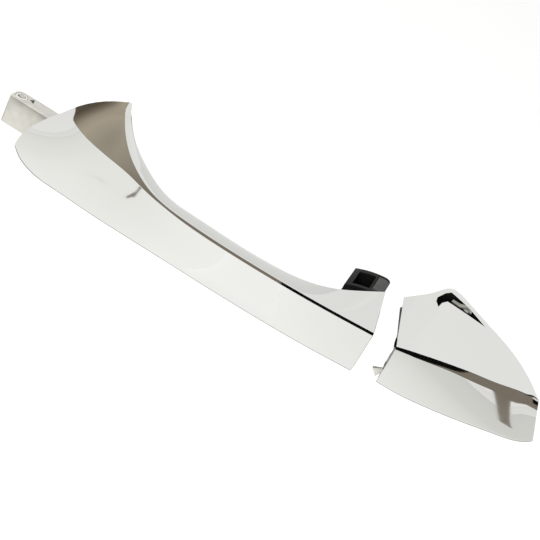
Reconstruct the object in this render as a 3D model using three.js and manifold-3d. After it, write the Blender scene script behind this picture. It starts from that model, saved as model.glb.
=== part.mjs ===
// A car door pull handle: a chromed grip that pivots on its front tongue, and the chromed end cap behind it.
// Millimetres. +X runs along the handle from the pivot end to the cap, +Y into the door, +Z up.
// The door's outer skin is the plane y = 0, and the origin is where the grip's crease meets that skin.
import * as THREE from "three";
import { mergeVertices } from "three/addons/utils/BufferGeometryUtils.js";
import Module from "manifold-3d";

const wasm = await Module();
wasm.setup();

// ---------------------------------------------------------------- driving dimensions

const WALL = 2.2;
const GAP = 0.3;

// The grip's edges. Each runs from the foot on the door skin (first point) to the parting line with the cap.
// lower edge of the outer face, crease, top of the narrow bevel above the crease, rear edge of the upper
// face, and lower edge of the finger side.
const GRIP_EDGES = {
  low: [
    [-19, 0, -34], [-13, -2.5, -37.3], [-1, -7, -38], [16, -12, -35.4], [38, -19, -32],
    [60, -26, -27.8], [84, -31.5, -24.3], [116, -33, -23.3], [150, -31.5, -23.2], [180.2, -27.8, -23.2],
  ],
  crease: [
    [0, 0, 0], [7, -7, 0], [18, -13.5, 0], [32, -18.5, 0.3], [46, -23, 1],
    [62, -28.3, 0], [84, -32.6, -0.3], [116, -34, 0], [150, -32.3, 0], [180.4, -28.6, 0],
  ],
  brow: [
    [25.2, 0, 20.3], [27.2, -2.7, 18], [30.1, -6.8, 15.2], [35.2, -12.2, 10.9], [45.2, -19.7, 5.5],
    [62, -27.9, 1.4], [84.1, -32.1, 1.2], [116.1, -33.5, 1.5], [150.1, -31.8, 1.5], [180.1, -28.1, 1.5],
  ],
  seam: [
    [28, 0, 21], [29.5, -1, 17.5], [32, -2, 13], [38.5, -5, 6.5], [50, -11, 1.8],
    [66, -18, -1.5], [86, -20, -1.5], [117, -20, -2], [147.5, -15, -1], [174.8, 0, 7.2],
  ],
  heel: [
    [36, 0, -30], [38, -1, -30], [42, -3, -30], [50, -7, -29], [58, -11, -27],
    [70, -16, -23.5], [88, -18, -21.5], [117, -18, -21], [148, -12, -21], [174.5, 0, -22],
  ],
};
const GRIP_SLICES = 36;
const FOOT_BELLY = 3.6;
const FACE_LEAN = 0.6;
const BAR_BELLY = 0.7;
const BELLY_FADES_AT = 0.45;
// Where the grip meets the skin, its triangular front facet is crowned.
const FACET_CROWN = 2;
const CROWN_FADES_AT = 0.35;
// The finger side is rounded along the bar and flat where the feet meet the door.
const FINGER_ROUND = 2.6;
const ROUND_GROWS = [0.1, 0.3];
const ROUND_FADES = [0.84, 0.98];

// The cap's edges, from the parting line to the tail: lower edge, crease, top of the bevel above the crease,
// and the rim on the door skin.
const CAP_EDGES = {
  low: [
    [192.6, -26.3, -21.7], [204, -23.6, -23], [214, -20.9, -23.3], [226, -17.3, -23.4], [239, -12.8, -23.3],
    [251, -8.2, -23.2], [263, -3.3, -23], [270.1, 0, -20],
  ],
  crease: [
    [192, -27, -0.9], [198, -25.6, -0.5], [205, -23.7, -0.1], [217, -19.7, 0.1], [229, -14.9, -0.8],
    [241, -9.3, -1.6], [252, -3.7, -1.3], [261.6, 0, -1],
  ],
  brow: [
    [191.6, -26.4, 0.9], [197.2, -25, 1.8], [204.2, -23, 2.6], [215.5, -19.2, 3.4], [227, -14.5, 3.3],
    [238.8, -9.1, 2.3], [250.6, -3.6, 2], [260.9, 0, 0.4],
  ],
  rim: [
    [183.2, 0, 9.8], [193.4, 0, 19.5], [199.3, 0, 27.1], [209.5, 0, 24.9], [221.7, 0, 20.8],
    [236.6, 0, 15.9], [250.5, 0, 8.8], [260.2, 0, 1.5],
  ],
};
const CAP_SLICES = 28;
const CAP_BELLY = 0.8;
const HOLLOW_TO = 0.94;

// Corners in the XZ plane of the hooked, three-cornered window near the cap's highest point, and of the
// locating tab that stands out of its front edge.
const CAP_WINDOW = [
  [200.2, 25.2], [198.1, 23.4], [196, 20.1], [196.3, 18.9], [198.4, 18.2], [199, 20.2],
  [200.8, 21.9], [204.9, 21.5], [213, 20.6], [221.3, 19.2], [210.6, 23],
];
const CAP_TAB_END = 199;
const CAP_TAB = [
  [187.8, -17.9], [193, -15.1], [CAP_TAB_END, -15.1], [CAP_TAB_END, -18.7], [192.2, -18.7], [191, -21.4],
];
const CAP_TAB_SLOT_TOP = -14.5;
const TAB_REAR = -20.8;
const TAB_THICKNESS = 1.4;

// The black carrier inside the cap. It stands 3 mm into the door's opening.
const CARRIER_SPAN = [0.05, 0.84];
const CARRIER_REAR = 3;
const CARRIER_SKIN = -1.5;
const CLIP_BAY = { left: 195, right: 224, bottom: 12.5, floor: 1.4 };
const CARRIER_BAYS = [[201, 213, -18, -6], [216, 226, -18, -6]];
const CARRIER_SCREW_X = [196, 232];
const CARRIER_SCREW_Z = 0;
const CARRIER_SCREW_TIP = -4.5;
const CARRIER_SCREW_SEAT = 0.9;
const INSERT = { x: 215, z: 3, radius: 3.6, bore: 1.9, front: -8 };
const CLIP = { left: 203.5, right: 213, bend: 207.9, bottom: 18.2, top: 22.4, rear: 1.1, thick: 0.7, lift: 1.2 };
const RIVET_X = [210.3];
const RIVET_Z = 20.1;
const RIVET_RADIUS = 0.9;
const PAD = [198, 222, -3.5, -1.5];
const PAD_THICKNESS = 1.2;
const SEAL = { from: 0.06, to: 0.9, until: 0.04, thick: 1.2, proudLow: 0.25, proudHigh: 0.35 };

// Pivot: the pin stands upright in the door's bracket and the tongue turns about it.
const PIVOT = new THREE.Vector3(-28.6, 11.1, -21);
const TONGUE = { left: -32.9, front: 6, back: 16.2, bottom: -28.8, top: -13.2 };
const TONGUE_CORNERS = { front: 1.6, back: 4 };
const TONGUE_EDGE = 0.7;
// Corners in the XY plane of the little three-cornered pocket in the tongue's top, beside the pin.
const NOTCH = [[-24.5, 12.3], [-22.8, 14.6], [-21.4, 10.4]];
const NOTCH_DEPTH = 4;
const PIN_RADIUS = 2;
const PIN_PROUD = 0.6;
const BUSH_RADIUS = 2.95;
const TONGUE_BORE = 3.25;
const LEG = { left: 19, right: 30.5, tip: -8.5, bottom: -27.8, slant: 4, cutBack: 0.5 };

// Pull arm, behind the grip's rear foot.
const ARM = { left: 156.5, right: 174.5, front: 0.6, back: 20, bottom: -18 };
const ARM_TOP = { left: -1.2, bend: 2.3, bendX: 163.5, crest: 3.1, crestX: 171.5, right: 1 };
const ARM_NECK = { left: 158.5, right: 170, top: -5 };
const ARM_ROOT = { left: 156.3, deep: -26, shallow: -14 };
const ARM_POCKET = { left: 159.3, right: 167.4, front: 3, back: 16.5, floor: -9 };
const ARM_SCREW_Z = [-8.5, -14.5];
const ARM_SCREW_Y = -19.5;
const ARM_SCREW_TIP = 142;
const ARM_HEAD_RADIUS = 2.7;
const ARM_STEP = { left: 168.6, right: 180, front: 4, back: 18, floor: -0.3 };
const ABOVE_ARM = 10;

// Fasteners: M3.5 pan heads.
const SHANK_RADIUS = 1.6;
const SHANK_HOLE = 1.95;
const HEAD_RADIUS = 3;
const HEAD_HEIGHT = 2;
const HEAD_HOLE = 3.4;
const SCREW_SLOT = { half: 2, width: 0.8, floor: 1.1 };
const SCREW_OVERLAP = 0.5;
const SCREW_TIP_CLEAR = 2;
const COVER_SCREW_X = [76, 102, 130];
const COVER_SCREW_Z = -11;

// ---------------------------------------------------------------- materials

const chrome = { color: 0xd9dad6, roughness: 0.06, metalness: 1 };
const castZinc = { color: 0xd6d7cf, roughness: 0.35, metalness: 0.8 };
const blackPlastic = { color: 0x111110, roughness: 0.5, metalness: 0 };
const greyRubber = { color: 0x3c3d3b, roughness: 0.9, metalness: 0 };
const steel = { color: 0xb9bab8, roughness: 0.3, metalness: 1 };
const nylon = { color: 0xe6e3d8, roughness: 0.5, metalness: 0 };
const springSteel = { color: 0xa9a794, roughness: 0.35, metalness: 0.9 };
const brass = { color: 0xc9a557, roughness: 0.35, metalness: 1 };

// ---------------------------------------------------------------- solids and lofts

const ROUND_SIDES = 20;
// Cutters that go right through reach this far.
const THROUGH = 40;

function at(x, y, z) {
  return new THREE.Vector3(x, y, z);
}

function solid(geometry) {
  const bare = geometry.clone();
  bare.deleteAttribute("normal");
  bare.deleteAttribute("uv");
  const merged = mergeVertices(bare, 1e-4);
  return new wasm.Manifold(
    new wasm.Mesh({
      numProp: 3,
      vertProperties: merged.attributes.position.array,
      triVerts: new Uint32Array(merged.index.array),
    }),
  );
}

function geometryOf(manifold) {
  const { vertProperties, triVerts } = manifold.getMesh();
  const geometry = new THREE.BufferGeometry();
  geometry.setAttribute("position", new THREE.BufferAttribute(new Float32Array(vertProperties), 3));
  geometry.setIndex(new THREE.BufferAttribute(new Uint32Array(triVerts), 1));
  const flat = geometry.toNonIndexed();
  flat.computeVertexNormals();
  return flat;
}

function box(x0, x1, y0, y1, z0, z1) {
  const geometry = new THREE.BoxGeometry(x1 - x0, y1 - y0, z1 - z0);
  return solid(geometry.translate((x0 + x1) / 2, (y0 + y1) / 2, (z0 + z1) / 2));
}

// A round bar from one point to another along X, Y or Z.
function rod(radius, from, to) {
  const length = from.distanceTo(to);
  const along = to.clone().sub(from).normalize();
  const geometry = new THREE.CylinderGeometry(radius, radius, length, ROUND_SIDES);
  geometry.applyQuaternion(new THREE.Quaternion().setFromUnitVectors(new THREE.Vector3(0, 1, 0), along));
  const middle = from.clone().add(to).multiplyScalar(0.5);
  return solid(geometry.translate(middle.x, middle.y, middle.z));
}

// A round cutter along Y, from a depth to another.
function bore(radius, x, z, front = -THROUGH, rear = THROUGH) {
  return rod(radius, at(x, front, z), at(x, rear, z));
}

// A flat shape given by its corners in the XZ plane, from one depth to another.
function plate(corners, front, rear) {
  return slab(new THREE.Shape(corners.map(([x, z]) => new THREE.Vector2(x, z))), front, rear);
}

function slab(shape, front, rear) {
  const made = new THREE.ExtrudeGeometry(shape, { depth: rear - front, bevelEnabled: false });
  return solid(made.rotateX(Math.PI / 2).translate(0, rear, 0));
}

function ringNormal(ring) {
  const normal = new THREE.Vector3();
  ring.forEach((p, i) => normal.add(p.clone().cross(ring[(i + 1) % ring.length])));
  return normal.normalize();
}

// The ring moved in by a distance from each of its sides.
function inset(ring, distance) {
  const normal = ringNormal(ring);
  return ring.map((p, i) => {
    const before = ring[(i + ring.length - 1) % ring.length];
    const after = ring[(i + 1) % ring.length];
    const inA = normal.clone().cross(p.clone().sub(before)).normalize();
    const inB = normal.clone().cross(after.clone().sub(p)).normalize();
    const share = distance / (1 + inA.dot(inB));
    return p.clone().add(inA.add(inB).multiplyScalar(share));
  });
}

function capTriangles(ring) {
  const normal = ringNormal(ring);
  const across = ring[1].clone().sub(ring[0]).normalize();
  const side = normal.clone().cross(across).normalize();
  const flat = ring.map((p) => new THREE.Vector2(p.dot(across), p.dot(side)));
  return THREE.ShapeUtils.triangulateShape(flat, []);
}

// A closed skin over a row of rings that all have the same number of points.
function skin(rings) {
  const count = rings[0].length;
  const positions = rings.flat().flatMap((p) => [p.x, p.y, p.z]);
  const index = [];
  for (let i = 0; i + 1 < rings.length; i++) {
    for (let j = 0; j < count; j++) {
      const a = i * count + j;
      const b = i * count + ((j + 1) % count);
      index.push(a, b, b + count, a, b + count, a + count);
    }
  }
  const last = (rings.length - 1) * count;
  capTriangles(rings[0]).forEach(([a, b, c]) => index.push(a, c, b));
  capTriangles(rings.at(-1)).forEach(([a, b, c]) => index.push(last + a, last + b, last + c));
  const geometry = new THREE.BufferGeometry();
  geometry.setAttribute("position", new THREE.Float32BufferAttribute(positions, 3));
  geometry.setIndex(index);
  const made = solid(geometry);
  return made.volume() > 0 ? made : solid(geometry.setIndex(index.reverse()));
}

function curvesThrough(edges) {
  return Object.fromEntries(
    Object.entries(edges).map(([name, points]) => [
      name,
      new THREE.CatmullRomCurve3(points.map((p) => new THREE.Vector3(...p)), false, "catmullrom", 0.5),
    ]),
  );
}

function sectionOf(curves, u) {
  return Object.fromEntries(Object.entries(curves).map(([name, curve]) => [name, curve.getPoint(u)]));
}

function stations(from, to, count) {
  return Array.from({ length: count + 1 }, (_, i) => from + ((to - from) * i) / count);
}

// Points between two corners on a shallow arch that rises by height away from the point inside. A lean of
// 1 moves its highest point to a third of the way along.
function arch(from, to, height, inside, count, lean = 0) {
  const chord = to.clone().sub(from);
  const middle = from.clone().add(to).multiplyScalar(0.5);
  const out = middle.clone().sub(inside);
  out.addScaledVector(chord, -out.dot(chord) / chord.lengthSq()).normalize();
  return Array.from({ length: count }, (_, i) => {
    const t = (i + 1) / (count + 1);
    const even = 4 * t * (1 - t);
    const rise = height * THREE.MathUtils.lerp(even, even * 1.6875 * (1 - t), lean);
    return from.clone().addScaledVector(chord, t).addScaledVector(out, rise);
  });
}

function middleOf(points) {
  return points.reduce((sum, p) => sum.add(p), new THREE.Vector3()).multiplyScalar(1 / points.length);
}

// ---------------------------------------------------------------- the grip's sections

const gripCurves = curvesThrough(GRIP_EDGES);

function gripBelly(u) {
  const fade = THREE.MathUtils.smoothstep(u, 0, BELLY_FADES_AT);
  return THREE.MathUtils.lerp(FOOT_BELLY, BAR_BELLY, fade);
}

// The four inside corners a wall thickness in: heel, low, ridge behind the crease, and seam.
function gripInside(u, depth) {
  const s = sectionOf(gripCurves, u);
  const ridge = s.crease.clone().lerp(s.brow, 0.5);
  return inset([s.heel, s.low, ridge, s.seam], depth);
}

function gripShellRing(u) {
  const s = sectionOf(gripCurves, u);
  const middle = middleOf(Object.values(s));
  const [heelIn, lowIn, ridgeIn, seamIn] = gripInside(u, WALL);
  const face = arch(s.low, s.crease, gripBelly(u), middle, 4, FACE_LEAN);
  const crown = FACET_CROWN * (1 - THREE.MathUtils.smoothstep(u, 0, CROWN_FADES_AT));
  const facet = arch(s.crease, s.brow, crown, middle, 2);
  const shoulder = arch(s.brow, s.seam, 0.4, middle, 1);
  const outside = [s.heel, s.low, ...face, s.crease, ...facet, s.brow, ...shoulder, s.seam];
  return [...outside, seamIn, ridgeIn, lowIn, heelIn];
}

function fingerRound(u) {
  const grown = THREE.MathUtils.smoothstep(u, ...ROUND_GROWS);
  return FINGER_ROUND * grown * (1 - THREE.MathUtils.smoothstep(u, ...ROUND_FADES));
}

function gripCoverRing(u) {
  const s = sectionOf(gripCurves, u);
  const middle = middleOf(Object.values(s));
  const [heelIn, , , seamIn] = gripInside(u, WALL);
  const along = s.heel.clone().sub(s.seam).normalize().multiplyScalar(1.5 * GAP);
  const top = s.seam.clone().add(along);
  const bottom = s.heel.clone().sub(along);
  const back = arch(top, bottom, fingerRound(u), middle, 5);
  return [top, ...back, bottom, heelIn.sub(along), seamIn.add(along)];
}

function loft(ringAt, from, to, slices) {
  return skin(stations(from, to, slices).map(ringAt));
}

// ---------------------------------------------------------------- the grip

const CORE_FROM = 0.17;
const CORE_TO = 0.885;
const CORE_SLICES = 22;
const CORE_RIM = WALL + 2 * GAP;
// Two pockets that lighten the core, open on the finger side: left and right edges.
const POCKETS = [[84, 95], [109, 122]];
const POCKET_SPAN = { front: -27, bottom: -17.5, top: -5 };

// How deep one of the grip's edges lies at a place along the bar.
function edgeDepth(name, x) {
  const u = stations(0, 1, 400).find((v) => gripCurves[name].getPoint(v).x >= x);
  return gripCurves[name].getPoint(u).y;
}

// The screws' heads rest on the core, behind the back cover.
function coverScrewSeat(x) {
  const finger = (edgeDepth("seam", x) + edgeDepth("heel", x)) / 2;
  return at(x, finger - CORE_RIM + GAP, COVER_SCREW_Z);
}

function gripShell() {
  return loft(gripShellRing, 0, 1, GRIP_SLICES);
}

function gripBackCover() {
  const n = ARM_NECK;
  const neckHole = box(n.left - GAP, n.right + GAP, -20, 10, ARM.bottom - GAP, n.top + GAP);
  const cover = loft(gripCoverRing, 0, 1, GRIP_SLICES).subtract(neckHole);
  return COVER_SCREW_X.reduce((made, x) => made.subtract(bore(HEAD_HOLE, x, COVER_SCREW_Z)), cover);
}

// Outline of the tongue seen from above: a plate behind the skin with a rounded end beside the pin, and a
// leg that turns out through the foot's mouth into the grip.
function tonguePlan() {
  const shape = new THREE.Shape();
  const { left, front, back } = TONGUE;
  const round = TONGUE_CORNERS;
  shape.moveTo(left + round.front, front);
  shape.lineTo(LEG.left, front);
  shape.lineTo(LEG.left, LEG.tip);
  shape.lineTo(LEG.right, LEG.tip);
  shape.lineTo(LEG.right, back - LEG.slant);
  shape.lineTo(LEG.right - LEG.slant, back);
  shape.lineTo(left + round.back, back);
  shape.absarc(left + round.back, back - round.back, round.back, Math.PI / 2, Math.PI, false);
  shape.lineTo(left, front + round.front);
  shape.absarc(left + round.front, front + round.front, round.front, Math.PI, (3 * Math.PI) / 2, false);
  return shape;
}

function tongue() {
  const plan = new THREE.ExtrudeGeometry(tonguePlan(), {
    depth: TONGUE.top - TONGUE.bottom - 2 * TONGUE_EDGE,
    bevelEnabled: true,
    bevelThickness: TONGUE_EDGE,
    bevelSize: TONGUE_EDGE,
    bevelOffset: -TONGUE_EDGE,
    bevelSegments: 2,
    curveSegments: 8,
  });
  const underLeg = box(0, 60, -THROUGH, LEG.cutBack, -60, LEG.bottom);
  const notchPlan = new THREE.Shape(NOTCH.map(([x, y]) => new THREE.Vector2(x, y)));
  const notch = new THREE.ExtrudeGeometry(notchPlan, { depth: NOTCH_DEPTH + 1, bevelEnabled: false });
  return solid(plan.translate(0, 0, TONGUE.bottom + TONGUE_EDGE))
    .subtract(underLeg)
    .subtract(solid(notch.translate(0, 0, TONGUE.top - NOTCH_DEPTH)))
    .subtract(rod(TONGUE_BORE, PIVOT.clone().setZ(-THROUGH), PIVOT.clone().setZ(0)));
}

function gripCore() {
  let core = loft((u) => gripInside(u, CORE_RIM), CORE_FROM, CORE_TO, CORE_SLICES).add(tongue());
  for (const [from, to] of POCKETS) {
    core = core.subtract(box(from, to, POCKET_SPAN.front, 0, POCKET_SPAN.bottom, POCKET_SPAN.top));
  }
  for (const x of COVER_SCREW_X) {
    core = core.subtract(bore(SHANK_HOLE, x, COVER_SCREW_Z));
    core = core.subtract(bore(HEAD_HOLE, x, COVER_SCREW_Z, coverScrewSeat(x).y - GAP));
  }
  for (const z of ARM_SCREW_Z) {
    core = core.subtract(rod(SHANK_HOLE, at(138, ARM_SCREW_Y, z), at(170, ARM_SCREW_Y, z)));
  }
  return core;
}

// A slotted screw along Y. The underside of its head is at the seat.
function screw(seat, tip) {
  const { x, y, z } = seat;
  const slot = box(
    x - SCREW_SLOT.half, x + SCREW_SLOT.half, y + SCREW_SLOT.floor, y + 2 * HEAD_HEIGHT,
    z - SCREW_SLOT.width / 2, z + SCREW_SLOT.width / 2,
  );
  const head = rod(HEAD_RADIUS, seat, at(x, y + HEAD_HEIGHT, z));
  return head.add(rod(SHANK_RADIUS, at(x, tip, z), at(x, y + SCREW_OVERLAP, z))).subtract(slot);
}

function coverScrew(x) {
  return screw(coverScrewSeat(x), edgeDepth("crease", x) + WALL + SCREW_TIP_CLEAR);
}

// ---------------------------------------------------------------- the pull arm

// Outline of the arm seen from the front: its top rises in a shallow arch towards the cap.
function armFront() {
  const shape = new THREE.Shape();
  shape.moveTo(ARM.left, ARM.bottom);
  shape.lineTo(ARM.right, ARM.bottom);
  shape.lineTo(ARM.right, ARM_TOP.right);
  shape.quadraticCurveTo(ARM.right, ARM_TOP.crest, ARM_TOP.crestX, ARM_TOP.crest);
  shape.quadraticCurveTo(ARM_TOP.bendX, ARM_TOP.bend, ARM.left, ARM_TOP.left);
  shape.closePath();
  return shape;
}

function pullArm() {
  const p = ARM_POCKET;
  const s = ARM_STEP;
  let arm = slab(armFront(), ARM.front, ARM.back);
  arm = arm.subtract(box(p.left, p.right, p.front, p.back, p.floor, ABOVE_ARM));
  arm = arm.subtract(box(s.left - GAP, s.right, s.front - GAP, s.back + GAP, s.floor - GAP, ABOVE_ARM));
  arm = arm.add(box(ARM_NECK.left, ARM_NECK.right, ARM_ROOT.shallow - 1, 1, ARM.bottom, ARM_NECK.top));
  arm = arm.add(box(ARM_ROOT.left, ARM_NECK.right, ARM_ROOT.deep, ARM_ROOT.shallow, ARM.bottom, ARM_NECK.top));
  for (const z of ARM_SCREW_Z) {
    arm = arm.subtract(rod(SHANK_HOLE, at(150, ARM_SCREW_Y, z), at(175, ARM_SCREW_Y, z)));
  }
  return arm;
}

// The wear pad fills the step at the arm's top right corner.
function armPad() {
  const s = ARM_STEP;
  return slab(armFront(), s.front, s.back).intersect(box(s.left, s.right, 0, ARM.back, s.floor, ABOVE_ARM));
}

function armScrew(z) {
  const seat = ARM_NECK.right + GAP;
  const head = rod(ARM_HEAD_RADIUS, at(seat, ARM_SCREW_Y, z), at(seat + HEAD_HEIGHT, ARM_SCREW_Y, z));
  const shank = rod(SHANK_RADIUS, at(ARM_SCREW_TIP, ARM_SCREW_Y, z), at(seat + SCREW_OVERLAP, ARM_SCREW_Y, z));
  const slot = box(
    seat + SCREW_SLOT.floor, seat + 2 * HEAD_HEIGHT,
    ARM_SCREW_Y - SCREW_SLOT.half, ARM_SCREW_Y + SCREW_SLOT.half,
    z - SCREW_SLOT.width / 2, z + SCREW_SLOT.width / 2,
  );
  return head.add(shank).subtract(slot);
}

// ---------------------------------------------------------------- pivot

function pivotPin() {
  const top = TONGUE.top + PIN_PROUD;
  const bottom = TONGUE.bottom - PIN_PROUD;
  const profile = [
    new THREE.Vector2(0, bottom),
    new THREE.Vector2(PIN_RADIUS, bottom),
    new THREE.Vector2(PIN_RADIUS, top - 0.6),
    new THREE.Vector2(PIN_RADIUS - 0.5, top),
    new THREE.Vector2(0, top),
  ];
  const turned = new THREE.LatheGeometry(profile, 24).rotateX(Math.PI / 2);
  return solid(turned.translate(PIVOT.x, PIVOT.y, 0));
}

function pivotBush() {
  const outside = rod(BUSH_RADIUS, PIVOT.clone().setZ(TONGUE.bottom), PIVOT.clone().setZ(TONGUE.top));
  return outside.subtract(rod(PIN_RADIUS + GAP, PIVOT.clone().setZ(-40), PIVOT.clone().setZ(0)));
}

// ---------------------------------------------------------------- the cap

const capCurves = curvesThrough(CAP_EDGES);
const BEHIND = 4;
const MOUTH_STEP = 0.04;

function capRing(u) {
  const s = sectionOf(capCurves, u);
  const middle = s.low.clone().add(s.rim).multiplyScalar(0.5).setY(2);
  const face = arch(s.low, s.crease, CAP_BELLY, middle, 3);
  const flank = arch(s.brow, s.rim, CAP_BELLY, middle, 3);
  const outside = [s.low, ...face, s.crease, s.brow, ...flank, s.rim];
  return [s.low.clone().setY(BEHIND), ...outside, s.rim.clone().setY(BEHIND)];
}

function capInsideRing(u, depth) {
  const s = sectionOf(capCurves, u);
  const rearLow = s.low.clone().setY(BEHIND + depth);
  const rearRim = s.rim.clone().setY(BEHIND + depth);
  return inset([rearLow, s.low, s.crease, s.rim, rearRim], depth);
}

function levelWith(made, rear) {
  return made.intersect(box(100, 400, -100, rear, -100, 100));
}

function capShell() {
  const full = levelWith(loft(capRing, 0, 1, CAP_SLICES), 0);
  const hollow = loft((u) => capInsideRing(u, WALL), 0, HOLLOW_TO, CAP_SLICES);
  const first = capInsideRing(0, WALL);
  const next = capInsideRing(MOUTH_STEP, WALL);
  const before = first.map((p, i) => p.clone().multiplyScalar(3).addScaledVector(next[i], -2));
  const mouth = skin([before, first, next]);
  return full.subtract(hollow).subtract(mouth).subtract(plate(CAP_WINDOW, -THROUGH, THROUGH));
}

function capCarrier() {
  const whole = loft((u) => capInsideRing(u, WALL + 2 * GAP), ...CARRIER_SPAN, CAP_SLICES);
  let carrier = levelWith(whole, CARRIER_REAR);
  const b = CLIP_BAY;
  carrier = carrier.subtract(box(b.left, b.right, -THROUGH, b.floor, b.bottom, THROUGH));
  for (const [left, right, bottom, top] of CARRIER_BAYS) {
    carrier = carrier.subtract(box(left, right, CARRIER_SKIN, THROUGH, bottom, top));
  }
  carrier = carrier.subtract(
    box(180, CAP_TAB_END + GAP, -THROUGH, TAB_REAR + GAP, -THROUGH, CAP_TAB_SLOT_TOP),
  );
  for (const x of CARRIER_SCREW_X) {
    carrier = carrier.subtract(bore(SHANK_HOLE, x, CARRIER_SCREW_Z));
    carrier = carrier.subtract(bore(HEAD_HOLE, x, CARRIER_SCREW_Z, CARRIER_SCREW_SEAT - GAP));
  }
  carrier = carrier.subtract(bore(INSERT.radius + GAP, INSERT.x, INSERT.z, INSERT.front - GAP));
  for (const x of RIVET_X) {
    carrier = carrier.subtract(bore(RIVET_RADIUS + GAP, x, RIVET_Z));
  }
  return carrier;
}

function capTab() {
  return plate(CAP_TAB, TAB_REAR - TAB_THICKNESS, TAB_REAR);
}

// A bent strip: it lies on the carrier's plate, and its free end stands off towards the shell.
function capSpringClip() {
  const c = CLIP;
  const outline = [
    [c.right, c.rear], [c.right, c.rear - c.thick], [c.bend + 1, c.rear - c.thick],
    [c.bend - 1, c.rear - c.thick - c.lift], [c.left - 1, c.rear - c.thick - c.lift],
    [c.left - 1, c.rear - c.lift], [c.bend - 1.6, c.rear - c.lift], [c.bend, c.rear],
  ];
  const shape = new THREE.Shape(outline.map(([x, y]) => new THREE.Vector2(x, y)));
  const strip = new THREE.ExtrudeGeometry(shape, { depth: c.top - c.bottom, bevelEnabled: false });
  let clip = solid(strip.translate(0, 0, c.bottom));
  for (const x of RIVET_X) {
    clip = clip.subtract(bore(RIVET_RADIUS + GAP, x, RIVET_Z));
  }
  return clip;
}

function clipRivet(x) {
  const seat = CLIP.rear - CLIP.thick - GAP;
  const shank = rod(RIVET_RADIUS, at(x, seat - 0.2, RIVET_Z), at(x, CARRIER_REAR, RIVET_Z));
  return shank.add(rod(RIVET_RADIUS + 0.5, at(x, seat - 0.5, RIVET_Z), at(x, seat, RIVET_Z)));
}

function carrierScrew(x) {
  return screw(at(x, CARRIER_SCREW_SEAT, CARRIER_SCREW_Z), CARRIER_SCREW_TIP);
}

function capInsert() {
  const outside = bore(INSERT.radius, INSERT.x, INSERT.z, INSERT.front, CARRIER_REAR);
  return outside.subtract(bore(INSERT.bore, INSERT.x, INSERT.z));
}

// A lip of rubber just inside the cap's front edge. It stands out past the edge, more so at the rim.
function sealRing(u) {
  const ends = [WALL + GAP, WALL + GAP + SEAL.thick].map((depth) => {
    const [, , crease, rim] = capInsideRing(u, depth);
    return [crease.clone().lerp(rim, SEAL.from), crease.clone().lerp(rim, SEAL.to)];
  });
  const [[low, high], [lowIn, highIn]] = ends;
  return [low, high, highIn, lowIn];
}

function capEdgeSeal() {
  const first = sealRing(0);
  const last = sealRing(SEAL.until);
  const proud = [SEAL.proudLow, SEAL.proudHigh, SEAL.proudHigh, SEAL.proudLow];
  const lip = first.map((p, i) => p.clone().addScaledVector(p.clone().sub(last[i]), proud[i]));
  return skin([lip, first, last]);
}

function capPad() {
  const [left, right, bottom, top] = PAD;
  return box(left, right, CARRIER_REAR + GAP, CARRIER_REAR + GAP + PAD_THICKNESS, bottom, top);
}

// ---------------------------------------------------------------- assembly

const handle = new THREE.Group();

function addNode(name, made, finish) {
  const material = new THREE.MeshStandardMaterial(finish);
  const mesh = new THREE.Mesh(geometryOf(made), material);
  mesh.name = name;
  handle.add(mesh);
}

addNode("pivot_pin", pivotPin(), steel);
addNode("pivot_bush", pivotBush(), nylon);
addNode("grip_shell", gripShell(), chrome);
addNode("grip_back_cover", gripBackCover(), chrome);
addNode("grip_core", gripCore(), castZinc);
COVER_SCREW_X.forEach((x, i) => addNode(`cover_screw_${i + 1}`, coverScrew(x), steel));
addNode("pull_arm", pullArm(), blackPlastic);
addNode("arm_pad", armPad(), greyRubber);
ARM_SCREW_Z.forEach((z, i) => addNode(`arm_screw_${i + 1}`, armScrew(z), steel));
addNode("cap_shell", capShell(), chrome);
addNode("cap_carrier", capCarrier(), blackPlastic);
addNode("cap_locating_tab", capTab(), castZinc);
addNode("cap_spring_clip", capSpringClip(), springSteel);
RIVET_X.forEach((x, i) => addNode(`clip_rivet_${i + 1}`, clipRivet(x), steel));
CARRIER_SCREW_X.forEach((x, i) => addNode(`carrier_screw_${i + 1}`, carrierScrew(x), steel));
addNode("cap_insert", capInsert(), brass);
addNode("cap_pad", capPad(), greyRubber);
addNode("cap_edge_seal", capEdgeSeal(), greyRubber);

export default handle;
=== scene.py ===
import math

import bmesh
import bpy
import numpy as np
from mathutils import Matrix, Vector


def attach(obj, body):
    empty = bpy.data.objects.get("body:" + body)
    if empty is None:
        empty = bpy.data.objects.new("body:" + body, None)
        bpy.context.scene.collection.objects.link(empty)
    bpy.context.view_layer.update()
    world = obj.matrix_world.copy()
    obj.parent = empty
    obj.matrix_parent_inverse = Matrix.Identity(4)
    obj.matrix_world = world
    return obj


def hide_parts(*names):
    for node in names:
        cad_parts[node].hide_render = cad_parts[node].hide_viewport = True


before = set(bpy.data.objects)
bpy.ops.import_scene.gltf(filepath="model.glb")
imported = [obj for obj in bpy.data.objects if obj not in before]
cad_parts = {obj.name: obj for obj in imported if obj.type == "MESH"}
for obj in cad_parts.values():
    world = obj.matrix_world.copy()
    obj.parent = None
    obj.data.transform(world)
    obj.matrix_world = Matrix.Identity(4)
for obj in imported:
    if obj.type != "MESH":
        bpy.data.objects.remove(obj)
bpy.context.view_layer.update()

MM = 0.001

# ------------------------------------------------------------------ the camera

AZIMUTH, ELEVATION, ROLL = math.radians(6), math.radians(30), math.radians(29)
TARGET = Vector((125.2, -23.9, -2.0)) * MM
DISTANCE = 0.545
LENS, SENSOR = 80, 36
NEAREST = 0.01


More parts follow.
